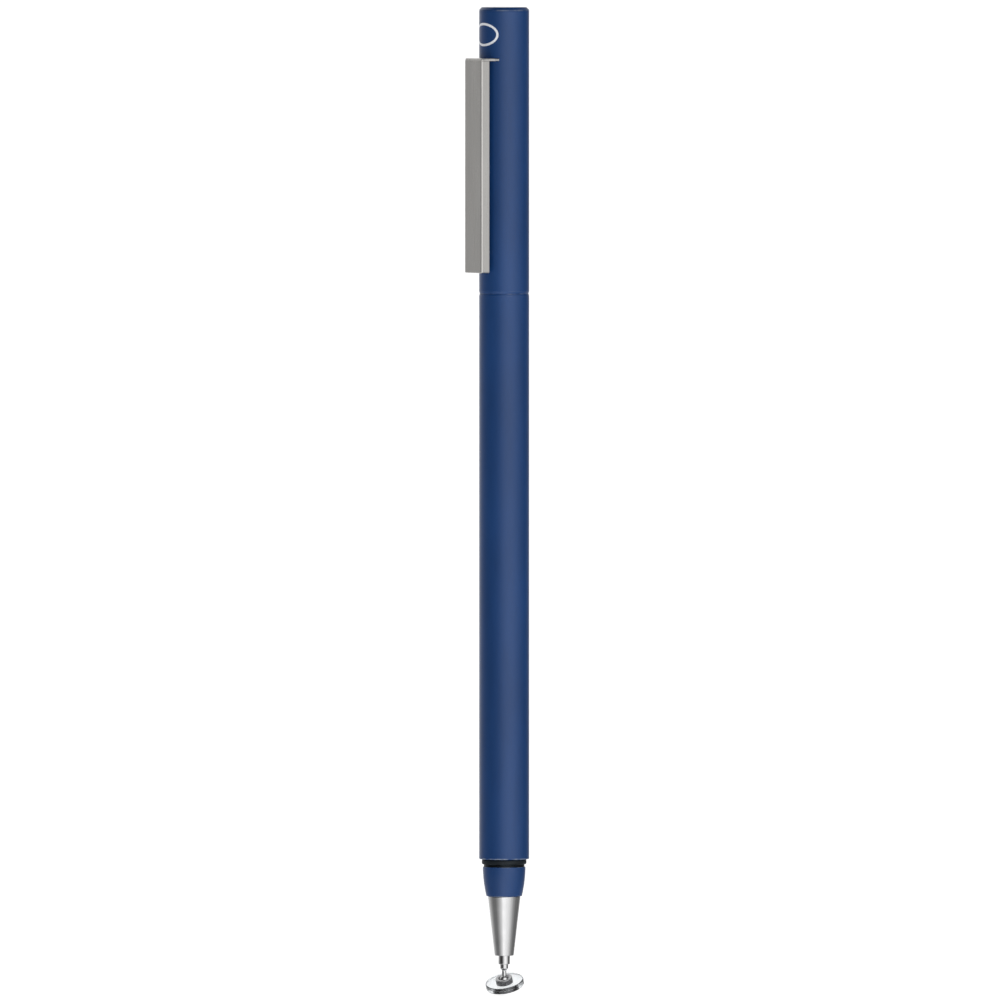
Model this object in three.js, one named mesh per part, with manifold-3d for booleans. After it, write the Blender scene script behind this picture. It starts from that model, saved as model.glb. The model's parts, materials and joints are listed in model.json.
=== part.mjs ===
// A slim capacitive stylus: a tube barrel, a pull-off cap with a sprung pocket clip,
// and a clear contact disc on a ball joint at the tip.
// Units are millimetres. +Z runs up the pen from the tip to the cap's closed end, and the clip faces -Y.
// The origin is on the pen's axis, level with the front end of the barrel tube.
import * as THREE from "three";
import { mergeVertices } from "three/addons/utils/BufferGeometryUtils.js";
import Module from "manifold-3d";

const wasm = await Module();
wasm.setup();

// ---- Driving dimensions ----
const TUBE_R = 3.75; // barrel and cap, outside radius
const TUBE_WALL = 0.45;
const SEAM_Z = 84.8; // where the cap meets the barrel
const TOP_Z = 127.7; // closed end of the cap
const FIT = 0.03; // radial gap of a press or sliding fit
const EDGE = 0.12; // small broken edge on turned parts

const NOSE_TOP_Z = -1.15; // tapered nose sleeve, from the collar down
const NOSE_END_Z = -5.55;
const NOSE_TOP_R = 3.2;
const NOSE_END_R = 2.67;
const CONE_TOP_R = 2.45;
const CONE_END_R = 1.43;
const CONE_END_Z = -14.5;
const BUSH_R = 0.86;
const BUSH_END_Z = -15.8;
const STEM_R = 0.6;
const NECK_R = 0.34;

const BALL_Z = -18.17; // centre of the ball joint
const BALL_R = 0.72;
const DISC_R = 2.88;
const DISC_TOP = -0.12; // heights of the disc's faces along its own axis, from the ball's centre
const DISC_BOTTOM = -1.03;
const LEAN_DEG = 24; // how far the disc leans at rest
const LEAN_AZIMUTH_DEG = 31; // the side it leans to, turned from -Y towards +X

const CLIP_WIDTH = 4.4;
const CLIP_SHOULDER = 0.35; // how much wider each side of the plate is inside the cap
const CLIP_SHOULDER_Y = -2.68;
const CLIP_OUTER_Y = -5.68;
const CLIP_INNER_Y = -4.18;
const CLIP_TOP_Z = 120.1;
const CLIP_PLATE = 0.4; // thickness of the clip's spring plate
const CLIP_END_Z = 87.95;

// ---- Derived dimensions ----
const BORE_R = TUBE_R - TUBE_WALL;
const PLUG_R = BORE_R - FIT; // anything that fits inside a tube
const PLATE_Z = CLIP_TOP_Z - CLIP_PLATE;

const SIDES = 36; // facets round the tubes and what fits them
const FINE_SIDES = 24; // facets round the small tip parts

// ---- Materials ----
const metal = (color, roughness) =>
  new THREE.MeshStandardMaterial({ color, roughness, metalness: 1 });
const plastic = (color, roughness, extra = {}) =>
  new THREE.MeshStandardMaterial({ color, roughness, metalness: 0, ...extra });
const MATERIAL = {
  navy: metal(0x24395f, 0.42),
  black: metal(0x14181c, 0.5),
  satinSteel: metal(0x9a9894, 0.35),
  polishedSteel: metal(0xc9c9cb, 0.12),
  hubMetal: metal(0x5c5d60, 0.25),
  springSteel: metal(0xb0b2b5, 0.25),
  brass: metal(0xb8954a, 0.3),
  rubber: plastic(0x16191b, 0.8),
  sleeve: plastic(0x23262a, 0.55),
  clear: plastic(0xe9eef0, 0.05, { transparent: true, opacity: 0.35 }),
};

// ---- Shape helpers ----
// A turned piece about Z. Each profile point is [radius, z], listed anticlockwise with the axis on the left;
// a profile that leaves the axis free is closed on itself.
function turned(profile, sides = SIDES) {
  const points = profile.map(([r, z]) => new THREE.Vector2(r, z));
  const onAxis = profile[0][0] === 0 && profile.at(-1)[0] === 0;
  if (!onAxis) points.push(points[0].clone());
  return new THREE.LatheGeometry(points, sides).rotateX(Math.PI / 2);
}

// The profile points of an arc about [r, z], from one angle to another in degrees, 0 along +r and 90 along +Z.
function arc(r, z, radius, from, to, steps) {
  return Array.from({ length: steps + 1 }, (_, i) => {
    const angle = THREE.MathUtils.degToRad(from + ((to - from) * i) / steps);
    return [r + radius * Math.cos(angle), z + radius * Math.sin(angle)];
  });
}

// A plain ring or rod between two heights, with broken outside edges.
function sleeve(rIn, rOut, zLow, zHigh, edge = EDGE, sides = SIDES) {
  const inner = rIn > 0 ? [[rIn, zHigh], [rIn, zLow]] : [[0, zHigh]];
  const start = rIn > 0 ? [] : [[0, zLow]];
  return turned(
    [
      ...start,
      [rOut - edge, zLow],
      [rOut, zLow + edge],
      [rOut, zHigh - edge],
      [rOut - edge, zHigh],
      ...inner,
    ],
    sides,
  );
}

// An O-ring with its section squeezed to a rounded box.
function oRing(rIn, rOut, zLow, zHigh, sides = SIDES) {
  const corner = Math.min(rOut - rIn, zHigh - zLow) * 0.3;
  return turned(
    [
      ...arc(rOut - corner, zLow + corner, corner, -90, 0, 1),
      ...arc(rOut - corner, zHigh - corner, corner, 0, 90, 1),
      ...arc(rIn + corner, zHigh - corner, corner, 90, 180, 1),
      ...arc(rIn + corner, zLow + corner, corner, 180, 270, 1),
    ],
    sides,
  );
}

// A box given by its lowest and highest corners.
function block([x0, y0, z0], [x1, y1, z1]) {
  const g = new THREE.BoxGeometry(x1 - x0, y1 - y0, z1 - z0);
  return g.translate((x0 + x1) / 2, (y0 + y1) / 2, (z0 + z1) / 2);
}

// An upright round bar of radius r at [x, y].
function rod(r, x, y, zLow, zHigh, sides = FINE_SIDES) {
  const g = new THREE.CylinderGeometry(r, r, zHigh - zLow, sides);
  return g.rotateX(Math.PI / 2).translate(x, y, (zLow + zHigh) / 2);
}

function toSolid(geometry) {
  const bare = geometry.clone();
  bare.deleteAttribute("normal");
  bare.deleteAttribute("uv");
  const merged = mergeVertices(bare, 1e-4);
  return new wasm.Manifold(
    new wasm.Mesh({
      numProp: 3,
      vertProperties: merged.attributes.position.array,
      triVerts: new Uint32Array(merged.index.array),
    }),
  );
}

function toGeometry(solid) {
  const { vertProperties, triVerts } = solid.getMesh();
  const g = new THREE.BufferGeometry()
    .setAttribute("position", new THREE.BufferAttribute(vertProperties, 3))
    .setIndex(new THREE.BufferAttribute(triVerts, 1))
    .toNonIndexed();
  g.computeVertexNormals();
  return g;
}

const cut = (geometry, ...tools) =>
  toGeometry(tools.reduce((s, t) => s.subtract(toSolid(t)), toSolid(geometry)));
const join = (geometry, ...more) =>
  toGeometry(more.reduce((s, t) => s.add(toSolid(t)), toSolid(geometry)));

// ---- Barrel ----
const barrelTube = () =>
  turned([
    [BORE_R, 0],
    [TUBE_R - EDGE, 0],
    [TUBE_R, EDGE],
    [TUBE_R, SEAM_Z - EDGE],
    [TUBE_R - EDGE, SEAM_Z],
    [BORE_R, SEAM_Z],
  ]);

const O_RING_SEAT_R = 2.75; // bottom of both O-ring grooves
const NOSE_SPIGOT_R = 2.3;
const CONE_TAIL_R = 1.57;
const COLLAR_END_Z = -4.4;
const COLLAR_REAR_Z = 9; // how far the collar reaches into the barrel
const COLLAR_FLANGE_R = 3.05; // the flange between the O-ring and the nose
const COLLAR_FLANGE_Z = -0.8;

// Pressed into the barrel's front; it carries the O-ring and the nose.
const frontCollar = () =>
  turned([
    [CONE_TAIL_R + FIT, COLLAR_END_Z],
    [NOSE_SPIGOT_R, COLLAR_END_Z],
    [NOSE_SPIGOT_R, NOSE_TOP_Z + FIT],
    [COLLAR_FLANGE_R, NOSE_TOP_Z + FIT],
    [COLLAR_FLANGE_R, COLLAR_FLANGE_Z],
    [O_RING_SEAT_R, COLLAR_FLANGE_Z],
    [O_RING_SEAT_R, 0.02],
    [PLUG_R, 0.02],
    [PLUG_R, COLLAR_REAR_Z],
    [CONE_TAIL_R + FIT, COLLAR_REAR_Z],
  ]);

const FRONT_RING_R = 3.35;
const frontORing = () => oRing(O_RING_SEAT_R + FIT, FRONT_RING_R, COLLAR_FLANGE_Z + FIT, -FIT);

// The nose sleeve narrows along a gentle curve from the collar to the cone.
const noseSleeve = () =>
  turned([
    [CONE_TAIL_R + FIT, NOSE_END_Z],
    [NOSE_END_R - EDGE, NOSE_END_Z],
    [NOSE_END_R, NOSE_END_Z + EDGE],
    [2.87, -4.3],
    [3.05, -3.2],
    [3.17, -2.1],
    [NOSE_TOP_R, NOSE_TOP_Z - EDGE],
    [NOSE_TOP_R - EDGE, NOSE_TOP_Z],
    [NOSE_SPIGOT_R + FIT, NOSE_TOP_Z],
    [NOSE_SPIGOT_R + FIT, COLLAR_END_Z - FIT],
    [CONE_TAIL_R + FIT, COLLAR_END_Z - FIT],
  ]);

const CHAMBER_R = 1.05; // the cone's bore, where the spring works
const CHAMBER_END_Z = -11;
const CONE_TAIL_Z = 2; // top of the cone's threaded tail

// Polished cone; its threaded tail reaches back through the nose sleeve into the collar.
const noseCone = () =>
  turned([
    [BUSH_R + FIT, CONE_END_Z],
    [CONE_END_R - EDGE, CONE_END_Z],
    [CONE_END_R, CONE_END_Z + EDGE],
    [CONE_TOP_R, NOSE_END_Z - FIT - 0.1],
    [CONE_TOP_R - 0.1, NOSE_END_Z - FIT],
    [CONE_TAIL_R, NOSE_END_Z - FIT],
    [CONE_TAIL_R, CONE_TAIL_Z],
    [CHAMBER_R, CONE_TAIL_Z],
    [CHAMBER_R, CHAMBER_END_Z],
    [BUSH_R + FIT, CHAMBER_END_Z],
  ]);

const stemBush = () =>
  sleeve(STEM_R + 0.04, BUSH_R, BUSH_END_Z, CHAMBER_END_Z, 0.1, FINE_SIDES);

const SCREW_LOW_Z = -3;
const SCREW_HIGH_Z = -1;
const SCREW_SOCKET_R = 0.5;
const SCREW_SOCKET_DEPTH = 0.9;

// Grub screw that backs the spring, with a hexagon socket in its rear face.
const springSeatScrew = () =>
  cut(
    sleeve(0, CHAMBER_R - FIT, SCREW_LOW_Z, SCREW_HIGH_Z, 0.1, FINE_SIDES),
    rod(SCREW_SOCKET_R, 0, 0, SCREW_HIGH_Z - SCREW_SOCKET_DEPTH, SCREW_HIGH_Z + 1, 6),
  );

const HEAD_LOW_Z = CHAMBER_END_Z + 0.02; // the stem's head rests on the bush
const HEAD_HIGH_Z = HEAD_LOW_Z + 0.8;
const HEAD_R = 0.98;
const SPRING_R = 0.82; // to the middle of the wire
const SPRING_WIRE_R = 0.11;
const SPRING_TURNS = 7;

// The spring's centreline: level end coils, evenly pitched between them.
class SpringCurve extends THREE.Curve {
  constructor(radius, turns, zLow, zHigh) {
    super();
    Object.assign(this, { radius, turns, zLow, zHigh });
  }
  getPoint(t, target = new THREE.Vector3()) {
    const angle = t * this.turns * 2 * Math.PI;
    const rise = THREE.MathUtils.smoothstep(t, -0.08, 1.08);
    const start = THREE.MathUtils.smoothstep(0, -0.08, 1.08);
    const share = (rise - start) / (1 - 2 * start);
    const z = this.zLow + (this.zHigh - this.zLow) * share;
    return target.set(this.radius * Math.cos(angle), this.radius * Math.sin(angle), z);
  }
}

function cushionSpring() {
  const path = new SpringCurve(
    SPRING_R,
    SPRING_TURNS,
    HEAD_HIGH_Z + FIT + SPRING_WIRE_R,
    SCREW_LOW_Z - FIT - SPRING_WIRE_R,
  );
  const section = new THREE.Shape().absarc(0, 0, SPRING_WIRE_R, 0, 2 * Math.PI);
  return new THREE.ExtrudeGeometry(section, {
    steps: SPRING_TURNS * 10,
    curveSegments: 3,
    extrudePath: path,
  });
}

const WEIGHT_LOW_Z = 12;
const WEIGHT_HIGH_Z = 64;
const WEIGHT_R = 2.6;
const WEIGHT_GROOVE_R = 2.3;
const WEIGHT_RING_Z = [16, 59]; // lower edge of each groove
const WEIGHT_RING_HEIGHT = 1;
const WEIGHT_EDGE = 0.3;

// Brass rod that gives the pen its heft, with a groove for an O-ring near each end.
function balanceWeight() {
  const grooves = WEIGHT_RING_Z.flatMap((z) => [
    [WEIGHT_R, z],
    [WEIGHT_GROOVE_R, z],
    [WEIGHT_GROOVE_R, z + WEIGHT_RING_HEIGHT],
    [WEIGHT_R, z + WEIGHT_RING_HEIGHT],
  ]);
  return turned(
    [
      [0, WEIGHT_LOW_Z],
      [WEIGHT_R - WEIGHT_EDGE, WEIGHT_LOW_Z],
      [WEIGHT_R, WEIGHT_LOW_Z + WEIGHT_EDGE],
      ...grooves,
      [WEIGHT_R, WEIGHT_HIGH_Z - WEIGHT_EDGE],
      [WEIGHT_R - WEIGHT_EDGE, WEIGHT_HIGH_Z],
      [0, WEIGHT_HIGH_Z],
    ],
    FINE_SIDES,
  );
}

const weightORing = (i) =>
  oRing(
    WEIGHT_GROOVE_R + FIT,
    PLUG_R,
    WEIGHT_RING_Z[i] + FIT,
    WEIGHT_RING_Z[i] + WEIGHT_RING_HEIGHT - FIT,
    FINE_SIDES,
  );

const POST_LOW_Z = 74;
const POST_TOP_Z = 96.3;
const POST_R = 2.85;
const POST_GROOVE_Z = 85.5;
const POST_GROOVE_HEIGHT = 0.8;
const POST_LAND_R = 3.22; // the land behind the groove, a running fit in the cap
const POST_ROUND = 0.5; // rounded rim of the post's end

// Pressed into the barrel's rear; the cap is pushed onto it while the pen is used.
const rearPost = () =>
  turned([
    [0, POST_LOW_Z],
    [PLUG_R - EDGE, POST_LOW_Z],
    [PLUG_R, POST_LOW_Z + EDGE],
    [PLUG_R, POST_GROOVE_Z],
    [O_RING_SEAT_R, POST_GROOVE_Z],
    [O_RING_SEAT_R, POST_GROOVE_Z + POST_GROOVE_HEIGHT],
    [POST_LAND_R, POST_GROOVE_Z + POST_GROOVE_HEIGHT],
    [POST_LAND_R, POST_GROOVE_Z + 1.7],
    [POST_R, POST_GROOVE_Z + 2.2],
    [POST_R, POST_TOP_Z - POST_ROUND],
    ...arc(POST_R - POST_ROUND, POST_TOP_Z - POST_ROUND, POST_ROUND, 0, 90, 3).slice(1),
    [0, POST_TOP_Z],
  ]);

const rearORing = () =>
  oRing(
    O_RING_SEAT_R + FIT,
    BORE_R - 0.02,
    POST_GROOVE_Z + FIT,
    POST_GROOVE_Z + POST_GROOVE_HEIGHT - FIT,
  );

// ---- Tip ----
// Spring-loaded stem: a head in the cone's chamber, a shaft in the bush, and a neck down to the ball.
const stem = () =>
  turned(
    [
      [0, BALL_Z + BALL_R + 0.02],
      [NECK_R, BALL_Z + BALL_R + 0.02],
      [NECK_R, BUSH_END_Z - 0.9],
      [STEM_R - 0.05, BUSH_END_Z - 0.6],
      [STEM_R, BUSH_END_Z - 0.5],
      [STEM_R, HEAD_LOW_Z],
      [HEAD_R, HEAD_LOW_Z],
      [HEAD_R, HEAD_HIGH_Z],
      [0, HEAD_HIGH_Z],
    ],
    FINE_SIDES,
  );

const pivotBall = () => new THREE.SphereGeometry(BALL_R, FINE_SIDES, 10).rotateX(Math.PI / 2);

const HUB_R = 1.27;
const HUB_TOP = 0.25;
const SOCKET_R = BALL_R + 0.04;
const RING_LOW = HUB_TOP + 0.02;
const RING_TOP = 0.4;

// The ball's socket: a round block that fills the disc's hole and stands above it, hollowed to a cup.
function discHub() {
  const cupEdge = THREE.MathUtils.radToDeg(Math.asin(HUB_TOP / SOCKET_R));
  const cup = arc(0, 0, SOCKET_R, cupEdge, -90, 6).slice(0, -1);
  return turned(
    [
      [0, DISC_BOTTOM],
      [HUB_R, DISC_BOTTOM],
      [HUB_R, HUB_TOP],
      ...cup,
      [0, -SOCKET_R],
    ],
    FINE_SIDES,
  );
}

// Snap ring on the hub's rim that keeps the ball in its socket; it flares to let the neck tilt.
const ballRetainingRing = () =>
  turned(
    [
      [0.69, RING_LOW],
      [HUB_R, RING_LOW],
      [HUB_R, RING_TOP - 0.06],
      [HUB_R - 0.06, RING_TOP],
      [0.86, RING_TOP],
    ],
    FINE_SIDES,
  );

const clearDisc = () =>
  turned([
    [HUB_R + FIT, DISC_BOTTOM],
    [DISC_R - 0.1, DISC_BOTTOM],
    [DISC_R, DISC_BOTTOM + 0.1],
    [DISC_R, DISC_TOP - 0.1],
    [DISC_R - 0.1, DISC_TOP],
    [HUB_R + FIT, DISC_TOP],
  ]);

// ---- Cap ----
const PLUG_HEAD_Z = TOP_Z - 0.5; // underside of the end plug's head
const PLUG_CHAMFER = 0.36;
const PLUG_INNER_Z = 124.3; // how far the plug reaches down inside the cap
const CAP_LOW_Z = SEAM_Z + 0.02;
const CAP_HIGH_Z = PLUG_HEAD_Z - FIT;
const SLOT_GAP = 0.03;
const PLATE_HALF_WIDTH = CLIP_WIDTH / 2 + CLIP_SHOULDER; // inside the cap
const slotTool = (yFar, yNear) =>
  block(
    [-PLATE_HALF_WIDTH - SLOT_GAP, yFar, PLATE_Z - SLOT_GAP],
    [PLATE_HALF_WIDTH + SLOT_GAP, yNear, CLIP_TOP_Z + SLOT_GAP],
  );

// Tube of the cap, slotted for the clip's spring plate.
const capShell = () =>
  cut(
    turned([
      [BORE_R, CAP_LOW_Z],
      [TUBE_R - EDGE, CAP_LOW_Z],
      [TUBE_R, CAP_LOW_Z + EDGE],
      [TUBE_R, CAP_HIGH_Z],
      [BORE_R, CAP_HIGH_Z],
    ]),
    slotTool(-TUBE_R - 1, -1),
  );

// Closes the cap: a spigot inside the tube and a chamfered head flush with its outside.
const capEndPlug = () =>
  turned([
    [0, PLUG_INNER_Z],
    [PLUG_R - EDGE, PLUG_INNER_Z],
    [PLUG_R, PLUG_INNER_Z + EDGE],
    [PLUG_R, PLUG_HEAD_Z],
    [TUBE_R, PLUG_HEAD_Z],
    [TUBE_R, TOP_Z - PLUG_CHAMFER],
    [TUBE_R - PLUG_CHAMFER, TOP_Z],
    [0, TOP_Z],
  ]);

// Plastic liner that centres the pen's nose, or the rear post, inside the cap.
const LINER_R = 2.95;
const LINER_LOW_Z = 91.2;
const LINER_HIGH_Z = 117.1;
const capInnerSleeve = () => sleeve(LINER_R, PLUG_R, LINER_LOW_Z, LINER_HIGH_Z, 0.1);

const ANCHOR_LOW_Z = 117.3;
const ANCHOR_HIGH_Z = 123.3;
const PIN_Y = -0.9;
const PIN_R = 0.5;

// Metal slug fixed inside the cap; it grips the clip's spring plate.
const clipAnchor = () =>
  cut(
    sleeve(0, PLUG_R, ANCHOR_LOW_Z, ANCHOR_HIGH_Z),
    slotTool(-TUBE_R, 0.5),
    rod(PIN_R + FIT, 0, PIN_Y, ANCHOR_LOW_Z + 1.5, ANCHOR_HIGH_Z + 1),
  );

const clipPin = () =>
  rod(PIN_R, 0, PIN_Y, ANCHOR_LOW_Z + 1.55, ANCHOR_HIGH_Z - 0.7, FINE_SIDES);

const CORNER = 0.16; // chamfer down the clip's long edges
const PLATE_END_Y = 0.4; // the plate's inner end

// A rectangle in plan with chamfered corners on its outer side.
function clipOutline(yFar, yNear) {
  const half = CLIP_WIDTH / 2;
  return new THREE.Shape([
    new THREE.Vector2(-half + CORNER, yFar),
    new THREE.Vector2(half - CORNER, yFar),
    new THREE.Vector2(half, yFar + CORNER),
    new THREE.Vector2(half, yNear),
    new THREE.Vector2(-half, yNear),
    new THREE.Vector2(-half, yFar + CORNER),
  ]);
}

// The plate's outline: as wide as the bar outside the cap, with shoulders that fill the cap's slot.
function plateOutline() {
  const bar = clipOutline(CLIP_OUTER_Y, CLIP_SHOULDER_Y - CLIP_SHOULDER).getPoints();
  const half = PLATE_HALF_WIDTH;
  return new THREE.Shape([
    ...bar.slice(0, 4),
    new THREE.Vector2(half, CLIP_SHOULDER_Y),
    new THREE.Vector2(half, PLATE_END_Y),
    new THREE.Vector2(-half, PLATE_END_Y),
    new THREE.Vector2(-half, CLIP_SHOULDER_Y),
    ...bar.slice(4, 6),
  ]);
}

const clipPlate = () =>
  cut(
    new THREE.ExtrudeGeometry(plateOutline(), {
      depth: CLIP_PLATE,
      bevelEnabled: false,
    }).translate(0, 0, PLATE_Z),
    rod(PIN_R + FIT, 0, PIN_Y, PLATE_Z - 1, PLATE_Z + 1),
  );

const NUB_R = 0.45;
const NUB_Z = CLIP_END_Z + 3.2;
const FOOT_BEVEL = 0.15; // chamfer round the bar's free end

// The clip's bar, with a rounded nub on its inner face that presses on a pocket's cloth.
function clipBar() {
  const bar = new THREE.ExtrudeGeometry(clipOutline(CLIP_OUTER_Y, CLIP_INNER_Y), {
    depth: PLATE_Z - SLOT_GAP - CLIP_END_Z - FOOT_BEVEL,
    bevelEnabled: false,
  }).translate(0, 0, CLIP_END_Z + FOOT_BEVEL);
  const foot = new THREE.ExtrudeGeometry(
    clipOutline(CLIP_OUTER_Y + FOOT_BEVEL, CLIP_INNER_Y - FOOT_BEVEL / 2),
    { depth: 1, bevelEnabled: false },
  ).translate(0, 0, CLIP_END_Z);
  const nub = new THREE.CylinderGeometry(NUB_R, NUB_R, CLIP_WIDTH - 0.8, FINE_SIDES)
    .rotateZ(Math.PI / 2)
    .translate(0, CLIP_INNER_Y - 0.1, NUB_Z);
  return join(bar, foot, nub);
}

// ---- Assembly ----
const pen = new THREE.Group();

function place(group, name, material, geometry) {
  const mesh = new THREE.Mesh(geometry, MATERIAL[material]);
  mesh.name = name;
  group.add(mesh);
}

place(pen, "barrel_tube", "navy", barrelTube());
place(pen, "front_collar", "black", frontCollar());
place(pen, "front_o_ring", "rubber", frontORing());
place(pen, "nose_sleeve", "navy", noseSleeve());
place(pen, "nose_cone", "polishedSteel", noseCone());
place(pen, "stem_bush", "polishedSteel", stemBush());
place(pen, "spring_seat_screw", "brass", springSeatScrew());
place(pen, "cushion_spring", "springSteel", cushionSpring());
place(pen, "balance_weight", "brass", balanceWeight());
place(pen, "weight_o_ring_front", "rubber", weightORing(0));
place(pen, "weight_o_ring_rear", "rubber", weightORing(1));
place(pen, "rear_post", "black", rearPost());
place(pen, "rear_o_ring", "rubber", rearORing());
place(pen, "stem", "polishedSteel", stem());

const tip = new THREE.Group(); // the ball joint's frame, leaning as the disc does
tip.position.z = BALL_Z;
tip.rotation.set(
  THREE.MathUtils.degToRad(LEAN_DEG),
  0,
  THREE.MathUtils.degToRad(LEAN_AZIMUTH_DEG),
  "ZXY",
);
pen.add(tip);
place(tip, "pivot_ball", "polishedSteel", pivotBall());
place(tip, "ball_retaining_ring", "springSteel", ballRetainingRing());
place(tip, "disc_hub", "hubMetal", discHub());
place(tip, "clear_disc", "clear", clearDisc());

place(pen, "cap_inner_sleeve", "sleeve", capInnerSleeve());
place(pen, "cap_shell", "navy", capShell());
place(pen, "cap_end_plug", "navy", capEndPlug());
place(pen, "clip_anchor", "brass", clipAnchor());
place(pen, "clip_pin", "springSteel", clipPin());
place(pen, "clip_plate", "satinSteel", clipPlate());
place(pen, "clip_bar", "satinSteel", clipBar());

export default pen;
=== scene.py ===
"""A slim touchscreen stylus: the looks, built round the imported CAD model."""

import json
import math

import bmesh
import bpy
from mathutils import Matrix, Vector


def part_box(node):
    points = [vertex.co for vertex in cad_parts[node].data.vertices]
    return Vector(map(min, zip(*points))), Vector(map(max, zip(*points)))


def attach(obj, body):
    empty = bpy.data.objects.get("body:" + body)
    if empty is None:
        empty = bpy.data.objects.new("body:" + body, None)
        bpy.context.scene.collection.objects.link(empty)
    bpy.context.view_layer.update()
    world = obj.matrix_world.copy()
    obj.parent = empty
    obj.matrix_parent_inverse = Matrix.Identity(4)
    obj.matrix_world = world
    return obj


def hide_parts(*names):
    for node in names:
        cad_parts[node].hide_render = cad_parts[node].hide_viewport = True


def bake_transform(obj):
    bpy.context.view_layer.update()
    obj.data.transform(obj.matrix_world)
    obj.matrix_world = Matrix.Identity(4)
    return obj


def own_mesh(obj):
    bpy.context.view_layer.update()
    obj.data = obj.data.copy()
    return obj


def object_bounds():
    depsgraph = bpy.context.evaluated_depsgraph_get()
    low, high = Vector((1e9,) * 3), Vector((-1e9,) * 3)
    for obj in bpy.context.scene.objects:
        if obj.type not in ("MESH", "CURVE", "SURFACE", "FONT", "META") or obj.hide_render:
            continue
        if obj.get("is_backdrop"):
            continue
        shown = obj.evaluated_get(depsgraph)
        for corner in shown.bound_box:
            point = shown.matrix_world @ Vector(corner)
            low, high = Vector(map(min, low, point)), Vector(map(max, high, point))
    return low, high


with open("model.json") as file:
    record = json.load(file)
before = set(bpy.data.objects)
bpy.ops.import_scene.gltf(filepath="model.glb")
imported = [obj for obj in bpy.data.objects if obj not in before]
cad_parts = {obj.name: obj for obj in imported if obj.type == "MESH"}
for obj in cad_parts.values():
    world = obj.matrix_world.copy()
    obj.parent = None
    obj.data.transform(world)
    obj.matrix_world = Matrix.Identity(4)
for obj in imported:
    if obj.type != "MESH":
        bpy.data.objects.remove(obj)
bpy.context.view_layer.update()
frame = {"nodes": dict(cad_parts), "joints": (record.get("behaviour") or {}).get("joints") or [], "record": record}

# ---- Driving values, in millimetres unless they say otherwise ----
MM = 0.001
SEGMENTS = 160  # facets round the barrel, the cap and the nose
FINE_SEGMENTS = 96  # facets round the tip's small parts
FILLET_STEPS = 4

CAMERA_AZIMUTH = 55.0  # degrees from -Y towards +X
CAMERA_ELEVATION = 2.0
CAMERA_LENS = 1000.0
CAMERA_SENSOR = 36.0
VIEW_WIDTH = 149.85  # what the picture's width covers at the pen
AIM_HEIGHT = 53.85
AIM_LEFT = 0.62  # the aim point lies this far to the left of the pen's axis

EDGE_FILLET = 0.12
FIT = 0.03  # gap between parts that fit each other

JOINTS = {joint["name"]: joint for joint in frame["joints"]}
BALL = Vector(JOINTS["disc_tilt"]["pos_m"])
TILT_AXIS = Vector(JOINTS["disc_tilt"]["axis"]).normalized()
DISC_AXIS = Vector(JOINTS["disc_spin"]["axis"]).normalized()


def span(node):
    """A CAD node's lowest z, highest z and outer radius, in millimetres."""
    low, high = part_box(node)
    return low.z / MM, high.z / MM, (high.x - low.x) / 2 / MM


# ---- Meshes ----
def rounded(points, default=0.0):
    """A closed outline of (r, z) or (r, z, fillet) corners, with each filleted corner as an arc.
    Returns (r, z, mark) points, where the mark is 1 on outer corners, which lose their finish first; on the clear
    disc the same mark also carries a painted shade along the rim."""
    count = len(points)
    corners = [(p[0], p[1], p[2] if len(p) > 2 else default) for p in points]
    out = []
    for i, (r, z, fillet) in enumerate(corners):
        here = Vector((r, z))
        before = Vector(corners[i - 1][:2]) - here
        after = Vector(corners[(i + 1) % count][:2]) - here
        if fillet <= 0 or r <= 1e-9:
            out.append((r, z, 0.0))
            continue
        a, b = before.normalized(), after.normalized()
        half = math.acos(max(-1.0, min(1.0, a.dot(b)))) / 2
        if half > math.radians(85):
            out.append((r, z, 0.0))
            continue
        reach = min(fillet / math.tan(half), before.length * 0.45, after.length * 0.45)
        radius = reach * math.tan(half)
        centre = here + (a + b).normalized() * (radius / math.sin(half))
        start, end = here + a * reach, here + b * reach
        convex = (b.x * a.y - b.y * a.x) > 0
        sweep = math.pi - 2 * half
        turn = -1 if convex else 1
        first = start - centre
        margin = reach * 0.35
        out.append((*(start + a * min(margin, before.length * 0.03 + 1e-6)), 0.0))
        for k in range(FILLET_STEPS + 1):
            angle = -turn * sweep * k / FILLET_STEPS
            spun = Matrix.Rotation(angle, 2) @ first
            out.append((*(centre + spun), 1.0 if convex else 0.0))
        out.append((*(end + b * min(margin, after.length * 0.03 + 1e-6)), 0.0))
    return out


def arc(r, z, radius, start, end, steps):
    """Points of an arc about (r, z) from start to end, in degrees from +r towards +z."""
    angles = [math.radians(start + (end - start) * k / steps) for k in range(steps + 1)]
    return [(r + radius * math.cos(t), z + radius * math.sin(t)) for t in angles]


def new_object(name, mesh):
    """An object for a finished mesh, linked to the scene."""
    made = bpy.data.objects.new(name, mesh)
    bpy.context.scene.collection.objects.link(made)
    return made


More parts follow.
